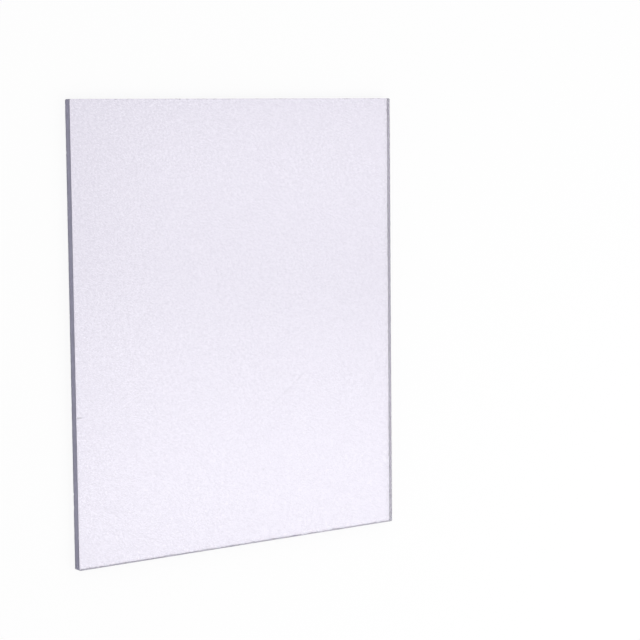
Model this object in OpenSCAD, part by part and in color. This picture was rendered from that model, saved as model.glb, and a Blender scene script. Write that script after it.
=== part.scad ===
// Cut piece of solid polycarbonate sheet, lying flat with its embossed face up.
// Frame: millimetres, +Z up, origin at the centre of the underside, the long side along Y.

/* [Sheet] */
// Length of the sheet, along Y
sheet_length = 150; // [40:1:600]
// Width of the sheet, along X
sheet_width = 128; // [40:1:600]
// Thickness of the sheet, over the peaks of its embossed face
sheet_thickness = 3; // [2:0.1:15]

/* [Cut edges] */
// Bevel that takes the sharpness off each cut edge, measured along the face and down the cut
arris_bevel = 0.25; // [0.05:0.05:0.8]
// Radius of each corner of the flat faces, inside the bevel
corner_radius = 0.25; // [0.05:0.05:8]

/* [Hidden] */
// Facets of a full turn, for the corners
$fn = 64;
// Distance from a side of the sheet to the centre of its corner's turn
corner_inset = corner_radius + arris_bevel;

// Half of the sheet's cross-section, from its middle plane out to one cut edge.
// The face ends at reach, and the bevels run down and up to the cut beyond it.
module half_section(reach) {
    polygon([
        [0, 0],
        [reach, 0],
        [reach + arris_bevel, arris_bevel],
        [reach + arris_bevel, sheet_thickness - arris_bevel],
        [reach, sheet_thickness],
        [0, sheet_thickness]
    ]);
}

// Bar with both cut edges on its long sides, centred on the origin and running along Y.
module straight_run(width, run) {
    translate([0, run / 2, 0])
        rotate([90, 0, 0])
            linear_extrude(run) {
                half_section(width / 2 - arris_bevel);
                mirror([1, 0])
                    half_section(width / 2 - arris_bevel);
            }
}

// Quarter turn that carries the cut edge and its bevels round one corner.
module corner_turn() {
    rotate_extrude(angle = 90)
        half_section(corner_radius);
}

// Whole sheet: a run with the long cut edges, a run with the short ones and the four corners.
module sheet() {
    color([0.92, 0.91, 0.95])
        union() {
            straight_run(sheet_width, sheet_length - 2 * corner_inset);
            rotate([0, 0, 90])
                straight_run(sheet_length, sheet_width - 2 * corner_inset);
            for (left = [0, 1], near = [0, 1])
                mirror([left, 0, 0])
                    mirror([0, near, 0])
                        translate([sheet_width / 2 - corner_inset, sheet_length / 2 - corner_inset, 0])
                            corner_turn();
        }
}

sheet();
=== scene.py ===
"""Cut piece of finely embossed polycarbonate sheet, lying on a plain pale floor in soft studio light."""

import math

import bpy
import numpy as np
from mathutils import Matrix, Vector

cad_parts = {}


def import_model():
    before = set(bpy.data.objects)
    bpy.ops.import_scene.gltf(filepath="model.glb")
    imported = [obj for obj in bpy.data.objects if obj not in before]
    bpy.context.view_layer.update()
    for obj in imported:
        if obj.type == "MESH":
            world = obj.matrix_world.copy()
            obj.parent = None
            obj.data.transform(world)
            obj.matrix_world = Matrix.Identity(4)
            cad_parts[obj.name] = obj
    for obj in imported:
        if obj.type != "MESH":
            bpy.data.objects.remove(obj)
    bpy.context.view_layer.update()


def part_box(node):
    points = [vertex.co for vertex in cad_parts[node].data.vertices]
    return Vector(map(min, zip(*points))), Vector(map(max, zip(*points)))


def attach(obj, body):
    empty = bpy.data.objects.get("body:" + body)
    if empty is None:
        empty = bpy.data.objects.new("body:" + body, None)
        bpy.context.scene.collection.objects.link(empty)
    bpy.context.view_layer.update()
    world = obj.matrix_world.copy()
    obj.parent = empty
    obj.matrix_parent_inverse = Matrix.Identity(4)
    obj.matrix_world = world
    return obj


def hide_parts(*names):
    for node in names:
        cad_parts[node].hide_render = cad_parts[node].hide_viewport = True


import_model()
MM = 0.001

# Sheet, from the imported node, and the relief of its faces and cuts, in millimetres
LOW, HIGH = (np.array(corner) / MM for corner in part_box("sheet"))
WIDTH, LENGTH, THICKNESS = HIGH - LOW
BEVEL = 0.11
LEAST_BEVEL = 0.04
CORNER_INSET = 0.5
CELL = 0.5
COLUMNS_PER_CELL = 2
CORNER_COLUMNS = 4
EMBOSS_DEPTH = 0.07
RIPPLE_TILT = math.radians(30)
BEVEL_SPREAD = 0.07
CHIP_DEPTH = 0.3
CUT_WANDER = 0.03
TOOTH_DEPTH = 0.02
CUT_ROWS = 5
UNDERSIDE_CELL = 4.0
SEED = 7

# Light: strength of the even fill, and share of plain white in the floor that the camera sees
FILL = 0.82
SHOWN_WHITE = 0.88

# Camera, in metres: where it stands, where it looks on the sheet and which way is up in the picture
CAMERA_AT = (-0.38334, 0.06838, 0.56132)
CAMERA_LOOKS = (0.59455, -0.09892, -0.79795)
CAMERA_UP = (0.06662, 0.99505, -0.07372)
LENS_MM = 114.4
SENSOR_MM = 36.0

# Marks of handling on the embossed face, in millimetres from its middle: each scratch runs from one point to another
SCRATCHES = {
    "long_scratch": ((26.0, -18.3), (12.8, -28.1), 0.07),
    "edge_scratch": ((-63.6, -25.7), (-62.2, -25.8), 0.30),
}
SPECKS = ((8.1, -50.1, 0.34), (14.3, -71.9, 0.3), (16.7, -71.2, 0.24), (27.5, -67.0, 0.26), (15.6, -63.1, 0.2))
MARK_CORE = 0.4


def wandering(rng, count, wavelength):
    """Smooth random curve round a closed loop of points, between -1 and 1."""
    knots = max(4, round(count / wavelength))
    values = rng.uniform(-1, 1, knots)
    place = np.arange(count) * knots / count
    before = np.floor(place).astype(int)
    share = place - before
    share = share * share * (3 - 2 * share)
    return values[before % knots] * (1 - share) + values[(before + 1) % knots] * share


def side_points(low, high, spacing):
    """Evenly spaced numbers from low to high, both ends included."""
    return np.linspace(low, high, round((high - low) / spacing) + 1)


def rectangle_loop(xs, ys):
    """Grid indices (column, row) of a rectangle's border, anticlockwise from its lowest corner."""
    right, top = len(xs) - 1, len(ys) - 1
    loop = [(i, 0) for i in range(right)]
    loop += [(right, j) for j in range(top)]
    loop += [(i, top) for i in range(right, 0, -1)]
    loop += [(0, j) for j in range(top, 0, -1)]
    return loop


def edge_columns():
    """Foot and outward direction of each column of points round the cut, anticlockwise from the lowest corner."""
    half_x, half_y = WIDTH / 2 - CORNER_INSET, LENGTH / 2 - CORNER_INSET
    xs = side_points(-half_x, half_x, CELL / COLUMNS_PER_CELL)
    ys = side_points(-half_y, half_y, CELL / COLUMNS_PER_CELL)
    sides = [
        ([(x, -half_y) for x in xs], -90),
        ([(half_x, y) for y in ys], 0),
        ([(x, half_y) for x in xs[::-1]], 90),
        ([(-half_x, y) for y in ys[::-1]], 180),
    ]
    feet, angles = [], []
    for points, angle in sides:
        feet += points
        angles += [angle] * len(points)
        turn = 90 / CORNER_COLUMNS
        feet += [points[-1]] * (CORNER_COLUMNS - 1)
        angles += [angle + turn * (i + 1) for i in range(CORNER_COLUMNS - 1)]
    angles = np.radians(angles)
    return np.array(feet), np.stack([np.cos(angles), np.sin(angles)], axis=1)


class Shell:
    """Points, faces and finishes of one closed mesh, in millimetres."""

    def __init__(self):
        self.points = []
        self.faces = []
        self.finishes = []
        self.count = 0

    def add_points(self, points):
        """Adds an array of points and returns their numbers."""
        self.points.append(points)
        first = self.count
        self.count += len(points)
        return np.arange(first, self.count)

    def add_faces(self, faces, finish):
        """Adds faces, each a list of point numbers, with one finish or one for each."""
        self.faces += [tuple(int(i) for i in face) for face in faces]
        self.finishes += np.broadcast_to(finish, len(faces)).tolist()

    def grid(self, numbers, finish, upward=True):
        """Quads over a rectangular array of point numbers."""
        quads = np.stack(
            [numbers[:-1, :-1], numbers[:-1, 1:], numbers[1:, 1:], numbers[1:, :-1]], axis=-1
        ).reshape(-1, 4)
        self.add_faces(quads if upward else quads[:, ::-1], finish)

    def band(self, upper, lower, finish):
        """Quads between two closed loops of as many points, seen from outside with upper on top."""
        quads = np.stack([lower, np.roll(lower, -1), np.roll(upper, -1), upper], axis=-1)
        self.add_faces(quads, finish)

    def collar(self, inner, outer, places, finish, upward=True):
        """Triangles between two closed loops that start side by side, each step taking the nearer next point."""
        faces = []
        i = j = 0
        while i < len(inner) or j < len(outer):
            here, there = inner[i % len(inner)], outer[j % len(outer)]
            next_inner, next_outer = inner[(i + 1) % len(inner)], outer[(j + 1) % len(outer)]
            step_inner = np.linalg.norm(places[next_inner] - places[there])
            step_outer = np.linalg.norm(places[next_outer] - places[here])
            if j >= len(outer) or (i < len(inner) and step_inner < step_outer):
                faces.append((here, there, next_inner))
                i += 1
            else:
                faces.append((here, there, next_outer))
                j += 1
        self.add_faces(faces if upward else [face[::-1] for face in faces], finish)

    def mesh(self, name):
        """Blender mesh in metres, with a finish number on each face."""
        mesh = bpy.data.meshes.new(name)
        mesh.from_pydata(np.concatenate(self.points) * MM, [], self.faces)
        mesh.polygons.foreach_set("material_index", self.finishes)
        mesh.update()
        return mesh


def emboss_heights(rng, rows, columns):
    """Random relief of fine short ripples that run along X and a little down, between 0 and -EMBOSS_DEPTH."""
    noise = rng.normal(size=(rows, columns))
    noise += 0.4 * np.roll(noise, 1, axis=1) + 0.3 * np.roll(noise, (-1, 1), axis=(0, 1))
    noise -= 0.8 * np.roll(noise, 1, axis=0)
    noise = np.clip(noise / (3 * noise.std()), -1, 1)
    return EMBOSS_DEPTH * (noise - 1) / 2


def sheet_mesh():
    """Closed mesh of the sheet: embossed top, sawn cut with uneven arrises, and flat underside."""
    rng = np.random.default_rng(SEED)
    shell = Shell()
    face, cut, under = range(3)
    half_x, half_y = WIDTH / 2 - CORNER_INSET, LENGTH / 2 - CORNER_INSET

    xs, ys = side_points(-half_x, half_x, CELL), side_points(-half_y, half_y, CELL)
    heights = THICKNESS + emboss_heights(rng, len(ys), len(xs))
    place_x, place_y = np.meshgrid(xs, ys)
    top = np.stack([place_x, place_y, heights], axis=-1).reshape(-1, 3)
    top_numbers = shell.add_points(top).reshape(len(ys), len(xs))
    shell.grid(top_numbers, face)

    feet, outward = edge_columns()
    count = len(feet)

    def ring(reach, z):
        flat = feet + outward * np.asarray(reach).reshape(-1, 1)
        return np.column_stack([flat, np.broadcast_to(z, count)])

    def jagged_bevel():
        """Width of the broken arris at each column: an even bevel, small tears and a few chips."""
        width = BEVEL + BEVEL_SPREAD * (0.5 * wandering(rng, count, 6) + 0.5 * rng.uniform(-1, 1, count))
        chips = np.clip(wandering(rng, count, 5) - 0.75, 0, None) * 4 * CHIP_DEPTH
        return np.clip(width + chips * rng.uniform(0.3, 1, count), LEAST_BEVEL, CORNER_INSET - 0.05)

    wander = CUT_WANDER * (wandering(rng, count, 160) + 1) / 2
    upper_bevel, lower_bevel = jagged_bevel(), jagged_bevel()
    rings = [
        ring(CORNER_INSET - upper_bevel, THICKNESS - EMBOSS_DEPTH * rng.uniform(0, 1, count)),
    ]
    upper_cut = THICKNESS - 0.8 * upper_bevel
    lower_cut = 0.8 * lower_bevel
    teeth = rng.uniform(0, 1, count)
    for row in range(CUT_ROWS + 1):
        share = row / CUT_ROWS
        teeth = 0.7 * teeth + 0.3 * rng.uniform(0, 1, count)
        rings.append(
            ring(CORNER_INSET - wander - TOOTH_DEPTH * teeth, upper_cut * (1 - share) + lower_cut * share)
        )
    rings.append(ring(CORNER_INSET - lower_bevel, 0.0))
    numbers = [shell.add_points(points) for points in rings]
    shell.band(numbers[0], numbers[1], np.where(outward[:, 1] < -0.5, cut, face))
    for upper, lower in zip(numbers[1:], numbers[2:]):
        shell.band(upper, lower, cut)

    places = np.concatenate(shell.points)
    border = np.array([top_numbers[row, column] for column, row in rectangle_loop(xs, ys)])
    shell.collar(border, numbers[0], places, face)

    under_xs = side_points(-half_x, half_x, UNDERSIDE_CELL)
    under_ys = side_points(-half_y, half_y, UNDERSIDE_CELL)
    under_x, under_y = np.meshgrid(under_xs, under_ys)
    flat = np.stack([under_x, under_y, np.zeros_like(under_x)], axis=-1).reshape(-1, 3)
    under_numbers = shell.add_points(flat).reshape(len(under_ys), len(under_xs))
    shell.grid(under_numbers, under, upward=False)
    places = np.concatenate(shell.points)
    border = np.array([under_numbers[row, column] for column, row in rectangle_loop(under_xs, under_ys)])
    shell.collar(border, numbers[-1], places, under, upward=False)
    return shell.mesh("embossed_sheet")


class Nodes:
    """Short way to make and link shader nodes."""

    def __init__(self, tree):
        self.tree = tree
        tree.nodes.clear()

    def make(self, kind, settings=None, **inputs):
        """Adds a node, sets its properties, and links or sets its inputs by name, with spaces as underscores."""
        node = self.tree.nodes.new(kind)
        for name, value in (settings or {}).items():
            setattr(node, name, value)
        for name, value in inputs.items():
            self.put(node.inputs[name.replace("_", " ")], value)
        return node

    def put(self, socket, value):
        """Links a socket to an output, or sets its number."""
        if isinstance(value, bpy.types.NodeSocket):
            self.tree.links.new(value, socket)
        else:
            socket.default_value = value

    def math(self, operation, first, second=0.0, third=0.0):
        """Math node on numbers or outputs."""
        node = self.make("ShaderNodeMath", {"operation": operation})
        for socket, value in zip(node.inputs, (first, second, third)):
            self.put(socket, value)
        return node.outputs[0]

    def vector(self, operation, first, second=(0, 0, 0)):
        """Vector Math node. Its number, where it has one, is the output called Value."""
        node = self.make("ShaderNodeVectorMath", {"operation": operation})
        self.put(node.inputs[0], first)
        self.put(node.inputs[1], second)
        return node

    def remap(self, value, low, high, to_low, to_high):
        """Value taken from one range to another and held inside it."""
        node = self.make("ShaderNodeMapRange", {"clamp": True}, Value=value)
        for name, number in (("From Min", low), ("From Max", high), ("To Min", to_low), ("To Max", to_high)):
            node.inputs[name].default_value = number
        return node.outputs["Result"]

    def blend(self, share, first, second):
        """Mix of two colours."""
        node = self.make("ShaderNodeMix", {"data_type": "RGBA"})
        self.put(node.inputs["Factor"], share)
        self.put(node.inputs[6], first)
        self.put(node.inputs[7], second)
        return node.outputs[2]

    def noise(self, place, wavelength_mm, detail=2.0, roughness=0.5):
        """Noise of a given coarse wavelength, over places in millimetres."""
        node = self.make("ShaderNodeTexNoise", Vector=place, Scale=1 / wavelength_mm)
        node.inputs["Detail"].default_value = detail
        node.inputs["Roughness"].default_value = roughness
        return node.outputs["Fac"]


def new_material(name):
    """Empty node material, its node maker and places on the piece in millimetres."""
    material = bpy.data.materials.new(name)
    material.use_nodes = True
    nodes = Nodes(material.node_tree)
    coordinates = nodes.make("ShaderNodeTexCoord").outputs["Object"]
    place = nodes.vector("SCALE", coordinates)
    place.inputs["Scale"].default_value = 1 / MM
    return material, nodes, place.outputs[0]


def finish_material(nodes, shader):
    """Links the shader to the material's output."""
    nodes.make("ShaderNodeOutputMaterial", Surface=shader.outputs[0])


def scratch_mask(nodes, place, start, end, width):
    """1 on a thin line from start to end, and 0 a width away from it."""
    begin, run = Vector((*start, THICKNESS)), Vector((end[0] - start[0], end[1] - start[1], 0))
    offset = nodes.vector("SUBTRACT", place, begin).outputs[0]
    along = nodes.math("DIVIDE", nodes.vector("DOT_PRODUCT", offset, run).outputs["Value"], run.length_squared)
    held = nodes.make("ShaderNodeClamp", Value=along).outputs[0]
    nearest = nodes.make("ShaderNodeVectorMath", {"operation": "SCALE"})
    nearest.inputs[0].default_value = run
    nodes.put(nearest.inputs["Scale"], held)
    distance = nodes.vector("DISTANCE", offset, nearest.outputs[0]).outputs["Value"]
    return nodes.remap(distance, MARK_CORE * width, width, 1.0, 0.0)


def speck_mask(nodes, place, x, y, radius):
    """1 at the middle of a small speck, and 0 at its rim."""
    distance = nodes.vector("DISTANCE", place, (x, y, THICKNESS)).outputs["Value"]
    return nodes.remap(distance, MARK_CORE * radius, radius, 1.0, 0.0)


def any_of(nodes, masks):
    """Highest of several masks."""
    highest = masks[0]
    for mask in masks[1:]:
        highest = nodes.math("MAXIMUM", highest, mask)
    return highest


def embossed_face():
    """Fine-embossed upper face: clear, faintly lilac plastic that blurs what is under it, with painted light on the
    crests of its ripples and painted shade in their hollows.
    """
    material, nodes, place = new_material("embossed_face")
    turned = nodes.make("ShaderNodeVectorRotate", {"rotation_type": "Z_AXIS"}, Vector=place, Angle=RIPPLE_TILT)
    squeezed = nodes.vector("MULTIPLY", turned.outputs[0], (0.4, 1.0, 1.0)).outputs[0]
    ripples = nodes.noise(squeezed, 0.32, detail=0.0)
    grain = nodes.noise(place, 0.2, detail=1.0)
    relief = nodes.math("ADD", ripples, nodes.math("MULTIPLY", grain, 0.1))
    marks = any_of(
        nodes,
        [scratch_mask(nodes, place, *scratch) for scratch in SCRATCHES.values()]
        + [speck_mask(nodes, place, *speck) for speck in SPECKS],
    )
    relief = nodes.math("SUBTRACT", relief, nodes.math("MULTIPLY", marks, 1.5))
    bump = nodes.make("ShaderNodeBump", Height=relief, Strength=1.0, Distance=0.03 * MM)
    mottle = nodes.noise(place, 18.0, detail=3.0)
    # Painted light and shade of the embossing: the tint is lighter on the crests of the ripples and darker in their
    # hollows.
    painted_ripple_shading = nodes.remap(ripples, 0.3, 0.7, 0.0, 1.0)
    tint = nodes.blend(mottle, (0.692, 0.659, 0.766, 1), (0.701, 0.668, 0.775, 1))
    tint = nodes.blend(painted_ripple_shading, tint, (0.811, 0.780, 0.878, 1))
    tint = nodes.blend(nodes.math("MULTIPLY", marks, 0.75), tint, (0.45, 0.44, 0.50, 1))
    shader = nodes.make("ShaderNodeBsdfPrincipled", Base_Color=tint, Normal=bump.outputs[0])
    nodes.put(shader.inputs["Roughness"], nodes.remap(grain, 0.3, 0.7, 0.08, 0.14))
    shader.inputs["Transmission Weight"].default_value = 0.74
    shader.inputs["IOR"].default_value = 1.585
    finish_material(nodes, shader)
    return material


def smooth_underside():
    """Smooth lower face, with the faint haze of handling."""
    material, nodes, place = new_material("smooth_underside")
    haze = nodes.noise(place, 12.0, detail=4.0)
    tint = nodes.blend(haze, (0.81, 0.78, 0.875, 1), (0.83, 0.80, 0.895, 1))
    shader = nodes.make("ShaderNodeBsdfPrincipled", Base_Color=tint)
    nodes.put(shader.inputs["Roughness"], nodes.remap(haze, 0.3, 0.7, 0.04, 0.09))
    shader.inputs["Transmission Weight"].default_value = 1.0
    shader.inputs["IOR"].default_value = 1.585
    finish_material(nodes, shader)
    return material


def sawn_edge():
    """Sawn cut: grey, satin and only partly clear, streaked across the thickness by the blade, with painted shade
    along its arrises.
    """
    material, nodes, place = new_material("sawn_edge")
    across = nodes.vector("MULTIPLY", place, (1.0, 1.0, 0.12)).outputs[0]
    streaks = nodes.noise(across, 0.4, detail=3.0, roughness=0.6)
    patches = nodes.noise(place, 3.0, detail=2.0)
    height = nodes.make("ShaderNodeSeparateXYZ", Vector=place).outputs["Z"]
    from_middle = nodes.math("ABSOLUTE", nodes.math("SUBTRACT", height, THICKNESS / 2))
    # Painted shade: the cut darkens towards its arrises, fully within 0.2 mm of the upper and lower faces.
    painted_arris_shade = nodes.remap(from_middle, THICKNESS / 2 - 0.7, THICKNESS / 2 - 0.2, 0.0, 1.0)
    tone = nodes.math("ADD", nodes.math("MULTIPLY", streaks, 0.6), nodes.math("MULTIPLY", patches, 0.4))
    tint = nodes.blend(tone, (0.17, 0.165, 0.25, 1), (0.42, 0.41, 0.56, 1))
    tint = nodes.blend(nodes.math("MULTIPLY", painted_arris_shade, 0.75), tint, (0.13, 0.125, 0.19, 1))
    bump = nodes.make("ShaderNodeBump", Height=streaks, Strength=0.6, Distance=0.03 * MM)
    shader = nodes.make("ShaderNodeBsdfPrincipled", Base_Color=tint, Normal=bump.outputs[0])
    nodes.put(shader.inputs["Roughness"], nodes.remap(streaks, 0.3, 0.7, 0.4, 0.6))
    shader.inputs["Transmission Weight"].default_value = 0.35
    shader.inputs["IOR"].default_value = 1.585
    finish_material(nodes, shader)
    return material


def sharpen(mesh):
    """Smooth shading, broken wherever neighbouring faces meet at more than 28 degrees, such as where the cut meets its
    bevels.
    """
    mesh.shade_smooth()
    mesh.set_sharp_from_angle(angle=math.radians(28))


def dressed_sheet():
    """Sheet with its relief and finishes, standing for the plain CAD solid."""
    mesh = sheet_mesh()
    for material in (embossed_face(), sawn_edge(), smooth_underside()):
        mesh.materials.append(material)
    sharpen(mesh)
    sheet = bpy.data.objects.new("embossed_sheet", mesh)
    bpy.context.collection.objects.link(sheet)
    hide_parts("sheet")
    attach(sheet, "root")
    return sheet


def share_of_white(nodes, by_camera):
    """Share of plain white in what is seen: 1 for a gloss or clear body, and 0 for light on its way to a dull one."""
    path = nodes.make("ShaderNodeLightPath").outputs
    direct = nodes.math("MULTIPLY", path["Is Camera Ray"], by_camera)
    return any_of(nodes, [direct, path["Is Glossy Ray"], path["Is Transmission Ray"]])


def floor():
    """Wide plain pale floor just under the sheet. Most of what is seen of it is plain white, the rest takes shadow."""
    size, gap = 3.0, 0.00002
    mesh = bpy.data.meshes.new("floor")
    corners = [(x * size, y * size, -gap) for x, y in ((-1, -1), (1, -1), (1, 1), (-1, 1))]
    mesh.from_pydata(corners, [], [(0, 1, 2, 3)])
    material, nodes, place = new_material("floor_paint")
    cloud = nodes.noise(place, 300.0, detail=1.0)
    tint = nodes.blend(cloud, (0.965, 0.963, 0.968, 1), (0.975, 0.973, 0.978, 1))
    shader = nodes.make("ShaderNodeBsdfPrincipled", Base_Color=tint)
    shader.inputs["Roughness"].default_value = 0.6
    shader.inputs["Specular IOR Level"].default_value = 0.2
    white = nodes.make("ShaderNodeEmission", Color=(1, 1, 1, 1), Strength=1.0)
    mix = nodes.make("ShaderNodeMixShader")
    nodes.put(mix.inputs[0], share_of_white(nodes, SHOWN_WHITE))
    nodes.put(mix.inputs[1], shader.outputs[0])
    nodes.put(mix.inputs[2], white.outputs[0])
    finish_material(nodes, mix)
    mesh.materials.append(material)
    plane = bpy.data.objects.new("floor", mesh)
    bpy.context.collection.objects.link(plane)


def world():
    """Even white light from all round, and white where the camera, a gloss or a clear body looks at it."""
    light = bpy.data.worlds.new("studio")
    light.use_nodes = True
    nodes = Nodes(light.node_tree)
    fill = nodes.make("ShaderNodeBackground", Color=(1, 1, 1, 1), Strength=FILL)
    shown = nodes.make("ShaderNodeBackground", Color=(1, 1, 1, 1), Strength=1.0)
    mix = nodes.make("ShaderNodeMixShader")
    nodes.put(mix.inputs[0], share_of_white(nodes, 1.0))
    nodes.put(mix.inputs[1], fill.outputs[0])
    nodes.put(mix.inputs[2], shown.outputs[0])
    nodes.make("ShaderNodeOutputWorld", Surface=mix.outputs[0])
    bpy.context.scene.world = light


def mirrored(x, y, distance):
    """Where a lamp at a distance stands, in metres, for the camera to see it mirrored at a place on the top face."""
    place = Vector((x, y, THICKNESS)) * MM
    sight = (place - Vector(CAMERA_AT)).normalized()
    return place + Vector((sight.x, sight.y, -sight.z)) * distance


def softbox(name, at, size, radiance):
    """Rectangular lamp that faces the sheet, its first side level and its second one across it."""
    lamp = bpy.data.lights.new(name, "AREA")
    lamp.shape = "RECTANGLE"
    lamp.size, lamp.size_y = size
    lamp.energy = radiance * math.pi * size[0] * size[1]
    obj = bpy.data.objects.new(name, lamp)
    bpy.context.collection.objects.link(obj)
    direction = Vector(at).normalized()
    level = Vector((0, 1, 0)).cross(direction).normalized()
    across = direction.cross(level)
    obj.matrix_world = Matrix.Translation(at) @ Matrix((level, across, direction)).transposed().to_4x4()


def lights():
    """Soft studio lamps: a near one whose mirrored edge crosses the face, and three far ones mirrored on it."""
    softbox("near_panel", mirrored(35.0, -84.0, 0.4), (0.36, 0.28), 1.05)
    softbox("right_panel", mirrored(35.0, 60.0, 1.3), (0.35, 0.2), 0.37)
    softbox("upper_panel", mirrored(10.0, 40.0, 1.3), (0.35, 0.2), 0.95)
    softbox("lower_panel", mirrored(5.0, -56.0, 1.3), (0.35, 0.16), 1.25)


def camera():
    """Camera at the photograph's viewing angle to the sheet."""
    data = bpy.data.cameras.new("camera")
    data.lens, data.sensor_width = LENS_MM, SENSOR_MM
    obj = bpy.data.objects.new("camera", data)
    bpy.context.collection.objects.link(obj)
    back = -Vector(CAMERA_LOOKS).normalized()
    right = Vector(CAMERA_UP).cross(back).normalized()
    up = back.cross(right)
    obj.matrix_world = Matrix.Translation(CAMERA_AT) @ Matrix((right, up, back)).transposed().to_4x4()
    bpy.context.scene.camera = obj


bpy.context.scene.view_settings.view_transform = "Standard"
camera()
dressed_sheet()
floor()
world()
lights()
